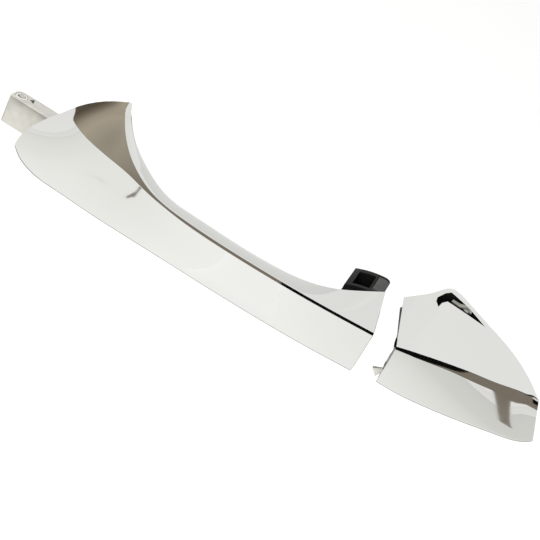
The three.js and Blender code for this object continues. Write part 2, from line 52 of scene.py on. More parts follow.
def place_camera():
    back = Vector((
        math.sin(AZIMUTH) * math.cos(ELEVATION),
        -math.cos(AZIMUTH) * math.cos(ELEVATION),
        math.sin(ELEVATION),
    ))
    right = Vector((math.cos(AZIMUTH), math.sin(AZIMUTH), 0))
    up = back.cross(right)
    across = right * math.cos(ROLL) + up * math.sin(ROLL)
    upward = up * math.cos(ROLL) - right * math.sin(ROLL)
    data = bpy.data.cameras.new("camera")
    data.lens = LENS
    data.sensor_width = SENSOR
    data.clip_start = NEAREST
    camera = bpy.data.objects.new("camera", data)
    turn = Matrix((across, upward, back)).transposed().to_4x4()
    camera.matrix_world = Matrix.Translation(TARGET + back * DISTANCE) @ turn
    bpy.context.scene.collection.objects.link(camera)
    bpy.context.scene.camera = camera


place_camera()

# ------------------------------------------------------------------ the handle's edges

# The same edges as in the CAD model, apart from 0.3 mm or less near the tail of the cap's crease and brow.
GRIP = {
    "low": [(-19, 0, -34), (-13, -2.5, -37.3), (-1, -7, -38), (16, -12, -35.4), (38, -19, -32),
            (60, -26, -27.8), (84, -31.5, -24.3), (116, -33, -23.3), (150, -31.5, -23.2),
            (180.2, -27.8, -23.2)],
    "crease": [(0, 0, 0), (7, -7, 0), (18, -13.5, 0), (32, -18.5, 0.3), (46, -23, 1),
               (62, -28.3, 0), (84, -32.6, -0.3), (116, -34, 0), (150, -32.3, 0), (180.4, -28.6, 0)],
    "brow": [(25.2, 0, 20.3), (27.2, -2.7, 18), (30.1, -6.8, 15.2), (35.2, -12.2, 10.9), (45.2, -19.7, 5.5),
             (62, -27.9, 1.4), (84.1, -32.1, 1.2), (116.1, -33.5, 1.5), (150.1, -31.8, 1.5),
             (180.1, -28.1, 1.5)],
    "seam": [(28, 0, 21), (29.5, -1, 17.5), (32, -2, 13), (38.5, -5, 6.5), (50, -11, 1.8),
             (66, -18, -1.5), (86, -20, -1.5), (117, -20, -2), (147.5, -15, -1), (174.8, 0, 7.2)],
    "heel": [(36, 0, -30), (38, -1, -30), (42, -3, -30), (50, -7, -29), (58, -11, -27),
             (70, -16, -23.5), (88, -18, -21.5), (117, -18, -21), (148, -12, -21), (174.5, 0, -22)],
}
CAP = {
    "low": [(192.6, -26.3, -21.7), (204, -23.6, -23), (214, -20.9, -23.3), (226, -17.3, -23.4),
            (239, -12.8, -23.3), (251, -8.2, -23.2), (263, -3.3, -23), (270.1, 0, -20)],
    "crease": [(192, -27, -0.9), (198, -25.6, -0.5), (205, -23.7, -0.1), (217, -19.7, 0.1),
               (229, -14.9, -0.8), (241, -9.3, -1.6), (252, -3.8, -1.3), (261.6, -0.25, -1)],
    "brow": [(191.6, -26.4, 0.9), (197.2, -25, 1.8), (204.2, -23, 2.6), (215.5, -19.2, 3.4),
             (227, -14.5, 3.3), (238.8, -9.1, 2.3), (250.6, -3.45, 2), (260.9, 0, 0.4)],
    "rim": [(183.2, 0, 9.8), (193.4, 0, 19.5), (199.3, 0, 27.1), (209.5, 0, 24.9), (221.7, 0, 20.8),
            (236.6, 0, 15.9), (250.5, 0, 8.8), (260.2, 0, 1.5)],
}
WALL = 2.2
# An edge is worked out at so many steps between two points, then eased over a share of that.
EDGE_STEPS, EASE = 60, 0.28


def smooth_edge(points, count):
    """The curve through the points, eased so that its bend changes slowly: count + 1 points."""
    p = np.array(points, float)
    p = np.vstack([2 * p[0] - p[1], p, 2 * p[-1] - p[-2]])
    t = np.linspace(0, 1, EDGE_STEPS, endpoint=False)[:, None]
    dense = []
    for i in range(len(p) - 3):
        a, b, c, d = p[i:i + 4]
        square = (2 * a - 5 * b + 4 * c - d) * t**2
        cube = (3 * b - a - 3 * c + d) * t**3
        dense.append(0.5 * (2 * b + (c - a) * t + square + cube))
    dense = np.vstack([*dense, p[-2][None]])
    reach = int(3 * EASE * EDGE_STEPS)
    head = 2 * dense[0] - dense[reach:0:-1]
    tail = 2 * dense[-1] - dense[-2:-reach - 2:-1]
    padded = np.vstack([head, dense, tail])
    kernel = np.exp(-0.5 * (np.arange(-reach, reach + 1) / (EASE * EDGE_STEPS)) ** 2)
    kernel /= kernel.sum()
    eased = np.stack([np.convolve(padded[:, k], kernel, mode="valid") for k in range(3)], axis=1)
    at = np.linspace(0, len(eased) - 1, count + 1)
    return np.stack([np.interp(at, np.arange(len(eased)), eased[:, k]) for k in range(3)], axis=1)


def unit(v):
    return v / np.maximum(np.linalg.norm(v, axis=-1, keepdims=True), 1e-9)


def smoothstep(x, low, high):
    t = np.clip((x - low) / (high - low), 0, 1)
    return t * t * (3 - 2 * t)


def fade(start, end, x, low, high):
    """Goes from start to end while x goes from low to high."""
    return start + (end - start) * smoothstep(x, low, high)


def swell(x, grows, fades):
    """Goes from 0 to 1 over the span grows, and back over the span fades."""
    return smoothstep(x, *grows) * (1 - smoothstep(x, *fades))


def inset(corners, depth):
    """The corners of closed rings, moved in by a depth from each side. Every corner is a row of points."""
    n = len(corners)
    normal = unit(sum(np.cross(corners[i], corners[(i + 1) % n]) for i in range(n)))
    moved = []
    for i, p in enumerate(corners):
        a = unit(np.cross(normal, unit(p - corners[i - 1])))
        b = unit(np.cross(normal, unit(corners[(i + 1) % n] - p)))
        moved.append(p + (a + b) * depth / (1 + (a * b).sum(1, keepdims=True)))
    return moved


# A leaning belly peaks a third of the way along, and this brings its peak up to the even one's.
LEAN_PEAK = 27 / 16


def side_point(a, b, belly, inside, t, lean):
    """A point a share t along the side from a to b, which bulges by belly away from the inside.

    A lean of 0 is an even belly, and with a lean of 1 the highest point is a third of the way along."""
    chord = b - a
    out = (a + b) / 2 - inside
    out = unit(out - chord * ((out * chord).sum(1, keepdims=True) / (chord * chord).sum(1, keepdims=True)))
    even = 4 * t * (1 - t)
    return a + chord * t + out * belly * (even * (1 - lean) + even * LEAN_PEAK * (1 - t) * lean)


def column(value):
    return np.asarray(value, float).reshape(-1, 1)


ROUND_STEPS = 6
LONGEST_ROUND = 0.45


def outline(corners, radii, bellies, counts, inside, leans=None):
    """An open path through the corners. Sides have a belly, and corners are rounded by their radii.

    A rounding takes no more than the share LONGEST_ROUND of a side."""
    sides = len(corners) - 1
    leans = leans or [0] * sides
    length = [np.linalg.norm(corners[k + 1] - corners[k], axis=1, keepdims=True) for k in range(sides)]
    parts = []
    for k in range(sides):
        a, b, belly = corners[k], corners[k + 1], column(bellies[k])
        cut_a = np.minimum(column(radii[k]) / length[k], LONGEST_ROUND)
        cut_b = np.minimum(column(radii[k + 1]) / length[k], LONGEST_ROUND)
        for i in range(counts[k] + 1):
            share = 0.5 - 0.5 * math.cos(math.pi * i / counts[k])
            parts.append(side_point(a, b, belly, inside, cut_a + (1 - cut_b - cut_a) * share, leans[k]))
        if k + 1 < sides:
            start = parts[-1]
            cut_next = np.minimum(column(radii[k + 1]) / length[k + 1], LONGEST_ROUND)
            end = side_point(b, corners[k + 2], column(bellies[k + 1]), inside, cut_next, leans[k + 1])
            for i in range(1, ROUND_STEPS):
                t = i / ROUND_STEPS
                parts.append(start * (1 - t) ** 2 + b * 2 * t * (1 - t) + end * t**2)
    return parts


def between(a, b, count):
    return [a + (b - a) * i / (count + 1) for i in range(1, count + 1)]


# ------------------------------------------------------------------ meshes

LATHE_SIDES = 64
# Points nearer than this are joined, in metres.
LATHE_MERGE, CAD_MERGE, BEVEL_MERGE = 1e-7, 2e-6, 1e-6


def mesh_piece(name, verts, faces):
    mesh = bpy.data.meshes.new(name)
    mesh.from_pydata([tuple(v) for v in np.asarray(verts, float) * MM], [], faces)
    mesh.update()
    piece = bpy.data.objects.new(name, mesh)
    bpy.context.scene.collection.objects.link(piece)
    bm = bmesh.new()
    bm.from_mesh(mesh)
    bmesh.ops.recalc_face_normals(bm, faces=bm.faces)
    bm.to_mesh(mesh)
    bm.free()
    return piece


def skin(name, rings):
    """A closed skin over rings of points, all with the same count."""
    n, m = len(rings), len(rings[0])
    faces = []
    for i in range(n - 1):
        for j in range(m):
            a, b = i * m + j, i * m + (j + 1) % m
            faces.append((a, b, b + m, a + m))
    faces.append(tuple(range(m))[::-1])
    faces.append(tuple((n - 1) * m + j for j in range(m)))
    return mesh_piece(name, np.vstack(rings), faces)


def toward(ring, other, distance):
    step = other - ring
    share = np.minimum(distance / np.maximum(np.linalg.norm(step, axis=1, keepdims=True), 1e-6), 0.5)
    return ring + step * share


def chamfered(ring, neighbour, chamfer):
    """The two rings that stand in for an end ring, the first of them smaller by the chamfer."""
    smaller = np.vstack(inset([p[None] for p in ring], chamfer))
    return [smaller, toward(ring, neighbour, chamfer)]


def lofted(name, path, chamfer=0.0):
    """A closed skin. path is a list of rows of points, and ring i is the i-th point of every row."""
    rings = list(np.stack(path, axis=1))
    if chamfer:
        first = chamfered(rings[0], rings[1], chamfer)
        last = chamfered(rings[-1], rings[-2], chamfer)
        rings = [*first, *rings[1:-1], *last[::-1]]
    return skin(name, rings)


def cut(piece, *tools):
    for tool in tools:
        change = piece.modifiers.new("cut", "BOOLEAN")
        change.object = tool
        change.operation = "DIFFERENCE"
        change.solver = "EXACT"
        bpy.context.view_layer.update()
        shown = piece.evaluated_get(bpy.context.evaluated_depsgraph_get())
        mesh = bpy.data.meshes.new_from_object(shown)
        piece.modifiers.clear()
        piece.data = mesh
        bpy.data.objects.remove(tool)
    return piece


def biggest_part(piece):
    """Deletes the slivers that a cut leaves loose beside the biggest part."""
    bm = bmesh.new()
    bm.from_mesh(piece.data)
    left, parts = set(bm.verts), []
    while left:
        part, edge = set(), [next(iter(left))]
        while edge:
            vertex = edge.pop()
            if vertex not in part:
                part.add(vertex)
                edge += [side.other_vert(vertex) for side in vertex.link_edges]
        parts.append(part)
        left -= part
    kept = max(parts, key=len)
    bmesh.ops.delete(bm, geom=[vertex for vertex in bm.verts if vertex not in kept], context="VERTS")
    bm.to_mesh(piece.data)
    bm.free()
    return piece


def block(x0, x1, y0, y1, z0, z1):
    corners = [(x, y, z) for x in (x0, x1) for y in (y0, y1) for z in (z0, z1)]
    faces = [(0, 1, 3, 2), (4, 6, 7, 5), (0, 4, 5, 1), (2, 3, 7, 6), (0, 2, 6, 4), (1, 5, 7, 3)]
    return mesh_piece("tool", corners, faces)


def turned(name, profile, place, axis):
    """A lathe shape. profile is (radius, height) pairs that start and end on the axis, or a closed loop."""
    n = len(profile) - (1 if profile[0] == profile[-1] else 0)
    angles = [2 * math.pi * i / LATHE_SIDES for i in range(LATHE_SIDES)]
    rings = []
    for radius, height in profile[:n]:
        ring = [(radius * math.cos(a), radius * math.sin(a), height) for a in angles]
        if axis == "Y":
            ring = [(x, z, y) for x, y, z in ring]
        if axis == "X":
            ring = [(z, x, y) for x, y, z in ring]
        rings.append(np.array(ring) + np.array(place))
    faces = []
    for i in range(len(profile) - 1):
        row, next_row = i * LATHE_SIDES, (i + 1) % n * LATHE_SIDES
        for j in range(LATHE_SIDES):
            k = (j + 1) % LATHE_SIDES
            faces.append((row + j, row + k, next_row + k, next_row + j))
    piece = mesh_piece(name, np.vstack(rings), faces)
    bm = bmesh.new()
    bm.from_mesh(piece.data)
    bmesh.ops.remove_doubles(bm, verts=bm.verts, dist=LATHE_MERGE)
    bmesh.ops.dissolve_degenerate(bm, edges=bm.edges, dist=LATHE_MERGE)
    bmesh.ops.recalc_face_normals(bm, faces=bm.faces)
    bm.to_mesh(piece.data)
    bm.free()
    return piece


FLAT, CORNER = math.radians(1), math.radians(28)
BEVEL_STEPS = 3


def softened(node, name, bevel):
    """A copy of a CAD node whose edges are rounded. Faces nearly in one plane are joined first."""
    bm = bmesh.new()
    bm.from_mesh(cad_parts[node].data)
    bmesh.ops.remove_doubles(bm, verts=bm.verts, dist=CAD_MERGE)
    bmesh.ops.dissolve_limit(bm, angle_limit=FLAT, verts=bm.verts, edges=bm.edges)
    corners = [e for e in bm.edges if len(e.link_faces) == 2 and e.calc_face_angle(0) > CORNER]
    bmesh.ops.bevel(
        bm, geom=corners, offset=bevel * MM, segments=BEVEL_STEPS, profile=0.5, affect="EDGES",
        clamp_overlap=True,
    )
    bmesh.ops.remove_doubles(bm, verts=bm.verts, dist=BEVEL_MERGE)
    mesh = bpy.data.meshes.new(name)
    bm.to_mesh(mesh)
    bm.free()
    # A mesh made afresh has none of the CAD mesh's own layers.
    bare = bpy.data.meshes.new(name)
    bare.from_pydata([tuple(v.co) for v in mesh.vertices], [], [tuple(p.vertices) for p in mesh.polygons])
    bare.update()
    piece = bpy.data.objects.new(name, bare)
    bpy.context.scene.collection.objects.link(piece)
    return piece


# ------------------------------------------------------------------ materials

# The colour's grain is this many times broader than the surface's.
BROAD_GRAINS = 9
TONE_SPAN, LEAST_ROUGH = (0.3, 0.7), 0.01


def material(name, base, rough, metallic, grain, swing, rough_swing, bump, detail=4.0, **more):
    """Roughness and the surface, which rises by bump, vary over a grain of that many millimetres."""
    made = bpy.data.materials.new(name)
    made.use_nodes = True
    nodes, links = made.node_tree.nodes, made.node_tree.links
    shader = nodes["Principled BSDF"]
    shader.inputs["Metallic"].default_value = metallic
    for socket, value in more.items():
        shader.inputs[socket.replace("_", " ")].default_value = value
    place = nodes.new("ShaderNodeTexCoord")
    broad = nodes.new("ShaderNodeTexNoise")
    broad.inputs["Scale"].default_value = 1 / (grain * BROAD_GRAINS * MM)
    broad.inputs["Detail"].default_value = detail
    fine = nodes.new("ShaderNodeTexNoise")
    fine.inputs["Scale"].default_value = 1 / (grain * MM)
    fine.inputs["Detail"].default_value = detail
    links.new(place.outputs["Object"], broad.inputs["Vector"])
    links.new(place.outputs["Object"], fine.inputs["Vector"])
    tone = nodes.new("ShaderNodeValToRGB")
    tone.color_ramp.elements[0].position, tone.color_ramp.elements[1].position = TONE_SPAN
    tone.color_ramp.elements[0].color = (*[c * (1 - swing) for c in base], 1)
    tone.color_ramp.elements[1].color = (*[min(1, c * (1 + swing)) for c in base], 1)
    links.new(broad.outputs["Fac"], tone.inputs["Fac"])
    links.new(tone.outputs["Color"], shader.inputs["Base Color"])
    gloss = nodes.new("ShaderNodeMapRange")
    gloss.inputs["To Min"].default_value = max(LEAST_ROUGH, rough - rough_swing)
    gloss.inputs["To Max"].default_value = rough + rough_swing
    links.new(fine.outputs["Fac"], gloss.inputs["Value"])
    links.new(gloss.outputs["Result"], shader.inputs["Roughness"])
    rise = nodes.new("ShaderNodeBump")
    rise.inputs["Strength"].default_value = 1.0
    rise.inputs["Distance"].default_value = bump * MM
    links.new(fine.outputs["Fac"], rise.inputs["Height"])
    links.new(rise.outputs["Normal"], shader.inputs["Normal"])
    return made


LOOKS = {
    "bright_chrome": dict(base=(0.705, 0.705, 0.69), rough=0.045, metallic=1.0, grain=7.0,
                          swing=0.015, rough_swing=0.015, bump=0.002, detail=1.5),
    "cast_metal": dict(base=(0.62, 0.61, 0.565), rough=0.36, metallic=0.85, grain=0.5,
                       swing=0.08, rough_swing=0.08, bump=0.02),
    "black_plastic": dict(base=(0.006, 0.006, 0.0058), rough=0.5, metallic=0.0, grain=0.35,
                          swing=0.2, rough_swing=0.08, bump=0.012, Specular_IOR_Level=0.12),
    "grey_rubber": dict(base=(0.045, 0.046, 0.045), rough=0.72, metallic=0.0, grain=0.45,
                        swing=0.25, rough_swing=0.1, bump=0.05),
    "zinc_steel": dict(base=(0.56, 0.565, 0.56), rough=0.3, metallic=1.0, grain=0.4,
                       swing=0.1, rough_swing=0.08, bump=0.008),
    "white_nylon": dict(base=(0.80, 0.78, 0.71), rough=0.4, metallic=0.0, grain=0.6,
                        swing=0.03, rough_swing=0.06, bump=0.006),
    "spring_strip": dict(base=(0.52, 0.51, 0.46), rough=0.3, metallic=1.0, grain=0.5,
                         swing=0.1, rough_swing=0.08, bump=0.008),
    "brass": dict(base=(0.70, 0.52, 0.26), rough=0.28, metallic=1.0, grain=0.4,
                  swing=0.1, rough_swing=0.07, bump=0.006),
}
FINISHES = {name: material(name, **look) for name, look in LOOKS.items()}
SHARP = math.radians(32)


def dress(piece, body, slot, *nodes):
    mesh = piece.data
    mesh.polygons.foreach_set("use_smooth", [True] * len(mesh.polygons))
    mesh.set_sharp_from_angle(angle=SHARP)
    mesh.update()
    mesh.materials.clear()
    mesh.materials.append(FINISHES[slot])
    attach(piece, body)
    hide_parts(*nodes)


# ------------------------------------------------------------------ the grip

SLICES = 200
FOOT_BELLY, BAR_BELLY, BELLY_FADES_AT, FACE_LEAN = 3.6, 0.7, 0.45, 0.6
FACET_CROWN, CROWN_FADES_AT = 2, 0.35
BROW_BELLY = 0.4
EDGE_CHAMFER = 0.2

grip = {name: smooth_edge(points, SLICES) for name, points in GRIP.items()}
grip_u = np.linspace(0, 1, SLICES + 1)
grip_middle = sum(grip.values()) / len(grip)
ridge = (grip["crease"] + grip["brow"]) / 2
heel_in, low_in, ridge_in, seam_in = inset([grip["heel"], grip["low"], ridge, grip["seam"]], WALL)


def grip_shell():
    belly = fade(FOOT_BELLY, BAR_BELLY, grip_u, 0, BELLY_FADES_AT)
    crown = FACET_CROWN * (1 - smoothstep(grip_u, 0, CROWN_FADES_AT))
    path = outline(
        corners=[heel_in, grip["heel"], grip["low"], grip["crease"], grip["brow"], grip["seam"], seam_in],
        radii=[0, 0.25, 2.4, 0.25, 0.3, 0.35, 0],
        bellies=[0, 0, belly, crown, BROW_BELLY, 0],
        counts=[2, 10, 24, 10, 12, 2],
        inside=grip_middle,
        leans=[0, 0, FACE_LEAN, 0, 0, 0],
    )
    path += between(seam_in, ridge_in, 5) + [ridge_in] + between(ridge_in, low_in, 5) + [low_in]
    path += between(low_in, heel_in, 4)
    return lofted("chrome_grip", path, EDGE_CHAMFER)


FINGER_ROUND, ROUND_GROWS, ROUND_FADES = 2.6, (0.1, 0.3), (0.84, 0.98)
COVER_GAP = 0.45
# The back cover's upper edge rolls up a little past the shell's.
COVER_LIP, LIP_GROWS, LIP_FADES = (0, 0.5, 0.8), (0.05, 0.2), (0.9, 0.97)
COVER_SCREW_X = (76, 102, 130)
COVER_SCREW_Z = -11
HEAD_HOLE = 3.4
HOLE_REACH = 12
ARM_HOLE = (158.2, 170.3, -20, 10, -18.3, -4.7)


def finger_depth(x):
    """The depth of the finger side's flat chord, half way up, at a place along the bar."""
    sides = [grip[name][np.argmax(grip[name][:, 0] >= x)] for name in ("seam", "heel")]
    return (sides[0][1] + sides[1][1]) / 2


def grip_cover():
    along = unit(grip["heel"] - grip["seam"]) * COVER_GAP
    lip = swell(grip_u, LIP_GROWS, LIP_FADES)[:, None] * np.array(COVER_LIP)
    path = outline(
        corners=[seam_in + along, grip["seam"] + along + lip, grip["heel"] - along, heel_in - along],
        radii=[0, 1.1, 1.1, 0],
        bellies=[0, FINGER_ROUND * swell(grip_u, ROUND_GROWS, ROUND_FADES), 0],
        counts=[3, 22, 3],
        inside=grip_middle,
    )
    path += between(heel_in - along, seam_in + along, 8)
    holes = [block(*ARM_HOLE)]
    for x in COVER_SCREW_X:
        near, far = finger_depth(x) - HOLE_REACH, finger_depth(x) + HOLE_REACH
        profile = [(0, near), (HEAD_HOLE, near), (HEAD_HOLE, far), (0, far)]
        holes.append(turned("tool", profile, (x, 0, COVER_SCREW_Z), "Y"))
    return cut(lofted("chrome_back_cover", path, EDGE_CHAMFER), *holes)


dress(grip_shell(), "grip", "bright_chrome", "grip_shell")
dress(grip_cover(), "grip", "bright_chrome", "grip_back_cover")
dress(softened("grip_core", "cast_core", 0.35), "grip", "cast_metal", "grip_core")

# ------------------------------------------------------------------ the cap

CAP_SLICES = 160
CAP_BELLY = 0.8
FLANK_BELLY = 0.2
BEVEL_BELLY, BEVEL_FADES = 0.1, (0.15, 0.65)
# The sides go on behind the door's skin by so much, and are cut off flat at the skin.
BEHIND, INSIDE_DEPTH = 4, 2
BEHIND_SKIN = (100, 400, 0, 100, -100, 100)
# The hollow ends short of the tail, and goes on past the front edge by so many slices.
HOLLOW_TO, MOUTH = 0.94, 3
# Corners of the window on the flank, the way its sides slope, and how far they go out and in.
WINDOW = [(200.2, -1, 25.2), (198.1, -1.2, 23.4), (196, -2.4, 20.1), (196.3, -3.9, 18.9),
          (198.4, -6.4, 18.2), (199, -4.9, 20.2), (200.8, -4.3, 21.9), (204.9, -3.8, 21.5),
          (213, -2.5, 20.5), (221.3, -1, 19.2), (210.6, -0.8, 23)]
WINDOW_SLOPE, WINDOW_REACH = (0.09, -0.861, 0.5), (14, -7)

cap = {name: smooth_edge(points, CAP_SLICES) for name, points in CAP.items()}
cap_u = np.linspace(0, 1, CAP_SLICES + 1)


def at_depth(row, y):
    moved = row.copy()
    moved[:, 1] = y
    return moved


def cap_shell():
    low, crease, brow, rim = (cap[name] for name in ("low", "crease", "brow", "rim"))
    path = outline(
        corners=[at_depth(low, BEHIND), low, crease, brow, rim, at_depth(rim, BEHIND)],
        radii=[0, 2.2, 0.25, 0.3, 0.4, 0],
        bellies=[0, CAP_BELLY, fade(BEVEL_BELLY, 0, cap_u, *BEVEL_FADES), FLANK_BELLY, 0],
        counts=[5, 20, 8, 16, 4],
        inside=at_depth((low + rim) / 2, INSIDE_DEPTH),
    )
    path += between(at_depth(rim, BEHIND), at_depth(low, BEHIND), 6)
    shell = lofted("chrome_cap", path)
    inner = inset([at_depth(low, BEHIND + WALL), low, crease, rim, at_depth(rim, BEHIND + WALL)], WALL)
    hollow = list(np.stack(inner, axis=1))[:int(HOLLOW_TO * CAP_SLICES) + 1]
    hollow = [hollow[0] * (MOUTH + 1) - hollow[1] * MOUTH, *hollow]
    window = [np.array(WINDOW) + np.array(WINDOW_SLOPE) * reach for reach in WINDOW_REACH]
    cut(shell, block(*BEHIND_SKIN), skin("tool", hollow), skin("tool", window))
    return biggest_part(shell)


dress(cap_shell(), "cap", "bright_chrome", "cap_shell")
for node, name, bevel, slot in (
    ("cap_carrier", "carrier", 0.3, "black_plastic"),
    ("cap_locating_tab", "locating_tab", 0.25, "cast_metal"),
    ("cap_spring_clip", "spring_clip", 0.15, "spring_strip"),
    ("cap_pad", "stop_pad", 0.3, "grey_rubber"),
):
    dress(softened(node, name, bevel), "cap", slot, node)

# ------------------------------------------------------------------ the pull arm

dress(softened("pull_arm", "arm", 0.5), "grip", "black_plastic", "pull_arm")
dress(softened("arm_pad", "wear_pad", 0.4), "grip", "grey_rubber", "arm_pad")

# ------------------------------------------------------------------ the screws

HEAD, SMALL_HEAD, SHANK, HEAD_HEIGHT = 3.0, 2.7, 1.6, 2.0
TIP, TIP_TAPER, FILLET = 0.9, 1.4, 0.15
SLOT_HALF, SLOT_FLOOR, SLOT_TOP, SLOT_REACH = 0.4, 1.1, 3, 2


def screw(node, seat, length, axis, head):
    """A slotted pan-head screw. The seat is the point under its head."""
    profile = [
        (0, -length), (TIP, -length), (SHANK, TIP_TAPER - length), (SHANK, -FILLET), (SHANK + FILLET, 0),
        (head - FILLET, 0), (head, FILLET), (head, 1.0), (head - 0.25, 1.5), (head - 0.8, 1.85),
        (head - 1.5, HEAD_HEIGHT), (0, HEAD_HEIGHT),
    ]
    piece = turned(node + "_turned", profile, seat, axis)
    x, y, z = seat
    long_way, deep_way = (-SLOT_REACH, SLOT_REACH), (SLOT_FLOOR, SLOT_TOP)
    if axis == "X":
        long_way, deep_way = deep_way, long_way
    return cut(piece, block(
        x + long_way[0], x + long_way[1], y + deep_way[0], y + deep_way[1], z - SLOT_HALF, z + SLOT_HALF,
    ))


def centre_and_ends(node, axis):
    """The middle of a CAD node's box in millimetres, and its two ends along an axis."""
    points = np.array([v.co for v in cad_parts[node].data.vertices]) / MM
    low, high = points.min(axis=0), points.max(axis=0)
    k = "XYZ".index(axis)
    return (low + high) / 2, low[k], high[k]


for node in ("cover_screw_1", "cover_screw_2", "cover_screw_3", "carrier_screw_1", "carrier_screw_2"):
    middle, tip, top = centre_and_ends(node, "Y")
    seat = (middle[0], top - HEAD_HEIGHT, middle[2])
    body = "grip" if node.startswith("cover") else "cap"
    dress(screw(node, seat, seat[1] - tip, "Y", HEAD), body, "zinc_steel", node)
for node in ("arm_screw_1", "arm_screw_2"):
    middle, tip, top = centre_and_ends(node, "X")
    seat = (top - HEAD_HEIGHT, middle[1], middle[2])
    dress(screw(node, seat, seat[0] - tip, "X", SMALL_HEAD), "grip", "zinc_steel", node)

# ------------------------------------------------------------------ the other turned parts

PIN_RADIUS, PIN_FOOT, PIN_TOP = 2.0, 1.4, 1.5
BUSH_BORE, BUSH_RADIUS, BUSH_CHAMFER = 2.3, 2.95, 0.15
INSERT_BORE, INSERT_RADIUS, INSERT_CHAMFER = 1.9, 3.6, 0.2
RIVET_HEAD, RIVET_SHANK, RIVET_HEAD_HEIGHT = 1.4, 0.9, 0.5


def pin_profile(low, high):
    return [(0, low), (PIN_FOOT, low), (PIN_RADIUS, low + 0.5), (PIN_RADIUS, high - 0.6),
            (PIN_RADIUS - 0.15, high - 0.25), (PIN_TOP, high), (0, high)]


def tube(bore, radius, chamfer, low, high):
    """The closed profile of a tube whose outer corners are chamfered."""
    return [(bore, low), (radius - chamfer, low), (radius, low + chamfer), (radius, high - chamfer),
            (radius - chamfer, high), (bore, high), (bore, low)]


def bush_profile(low, high):
    return tube(BUSH_BORE, BUSH_RADIUS, BUSH_CHAMFER, low, high)


def insert_profile(low, high):
    return tube(INSERT_BORE, INSERT_RADIUS, INSERT_CHAMFER, low, high)


def rivet_profile(low, high):
    neck = low + RIVET_HEAD_HEIGHT
    return [(0, low), (RIVET_HEAD - 0.6, low), (RIVET_HEAD - 0.2, low + 0.1), (RIVET_HEAD, neck - 0.15),
            (RIVET_HEAD, neck), (RIVET_SHANK, neck), (RIVET_SHANK, high), (0, high)]


def turned_in_place(name, node, axis, profile):
    """A lathe shape on a CAD node's middle line. profile gives its points from the node's two ends."""
    middle, low, high = centre_and_ends(node, axis)
    place = [0 if letter == axis else middle[k] for k, letter in enumerate("XYZ")]
    return turned(name, profile(low, high), place, axis)


for name, node, axis, profile, body, slot in (
    ("pivot_pin_turned", "pivot_pin", "Z", pin_profile, "door_side", "zinc_steel"),
    ("pivot_bush_turned", "pivot_bush", "Z", bush_profile, "grip", "white_nylon"),
    ("cap_insert_turned", "cap_insert", "Y", insert_profile, "cap", "brass"),
    ("clip_rivet_turned", "clip_rivet_1", "Y", rivet_profile, "cap", "zinc_steel"),
):
    dress(turned_in_place(name, node, axis, profile), body, slot, node)

# ------------------------------------------------------------------ the cap's front seal

# The seal stands back from where the CAD model has it, so that only a thin line of it shows.
SEAL_SET_BACK = 0.7

seal = softened("cap_edge_seal", "edge_seal", 0.2)
seal.data.transform(Matrix.Translation((SEAL_SET_BACK * MM, 0, 0)))
dress(seal, "cap", "grey_rubber", "cap_edge_seal")

# ------------------------------------------------------------------ cards that mirror in the chrome

BLACK = (0.004, 0.004, 0.004)
BROWN = (0.25, 0.215, 0.175)
UMBER = (0.12, 0.095, 0.07)
DARK_TAN = (0.24, 0.2, 0.15)
WARM_BROWN = (0.30, 0.26, 0.21)
DULL_TAN = (0.44, 0.38, 0.30)
TAN = (0.52, 0.45, 0.35)
SHADED_TAN = (0.44, 0.39, 0.31)
CRESCENT_BROWN = (0.2, 0.17, 0.13)
# The white sheets under the handle shade off towards the left and the right.
SHEET_MIDDLE = (1.215, 1.215, 1.19)
SHEET_LEFT, SHEET_FAR_LEFT = (1.04, 1.04, 1.01), (0.92, 0.92, 0.89)
SHEET_RIGHT, SHEET_FAR_RIGHT, SHEET_END = (1.08, 1.08, 1.055), (0.87, 0.87, 0.84), (0.8, 0.8, 0.78)
SHEET_Z, SHEET_NEAR = -0.285, -1.2
SCREEN_WHITE = (1.03, 1.03, 1.02)
LOW_GREY = (0.3, 0.3, 0.29)
BACK_GREY = (0.86, 0.86, 0.85)
BAND_STEPS = 6


def card(name, corners, tones):
    """A strip of card that only mirrors in the chrome. It has a tone for each pair of corners."""
    mesh = bpy.data.meshes.new(name)
    rows = [(2 * i, 2 * i + 1, 2 * i + 3, 2 * i + 2) for i in range(len(corners) // 2 - 1)]
    mesh.from_pydata(corners, [], rows)
    paint = mesh.color_attributes.new("tone", "FLOAT_COLOR", "POINT")
    for i in range(len(corners)):
        paint.data[i].color = (*tones[i // 2], 1)
    piece = bpy.data.objects.new(name, mesh)
    bpy.context.scene.collection.objects.link(piece)
    made = bpy.data.materials.new(name)
    made.use_nodes = True
    nodes, links = made.node_tree.nodes, made.node_tree.links
    nodes.clear()
    tone = nodes.new("ShaderNodeAttribute")
    tone.attribute_name = "tone"
    glow = nodes.new("ShaderNodeEmission")
    end = nodes.new("ShaderNodeOutputMaterial")
    links.new(tone.outputs["Color"], glow.inputs["Color"])
    links.new(glow.outputs["Emission"], end.inputs["Surface"])
    mesh.materials.append(made)
    piece.visible_camera = False
    piece.visible_diffuse = False
    piece.visible_shadow = False


def aimed(origin, reach, azimuth, elevation):
    """The point on an upright tube round an origin, at angles in degrees. Azimuth 0 is -Y, and 90 is +X."""
    turn = math.radians(azimuth)
    side = Vector((math.sin(turn), -math.cos(turn), math.tan(math.radians(elevation))))
    return Vector(origin) + side * reach


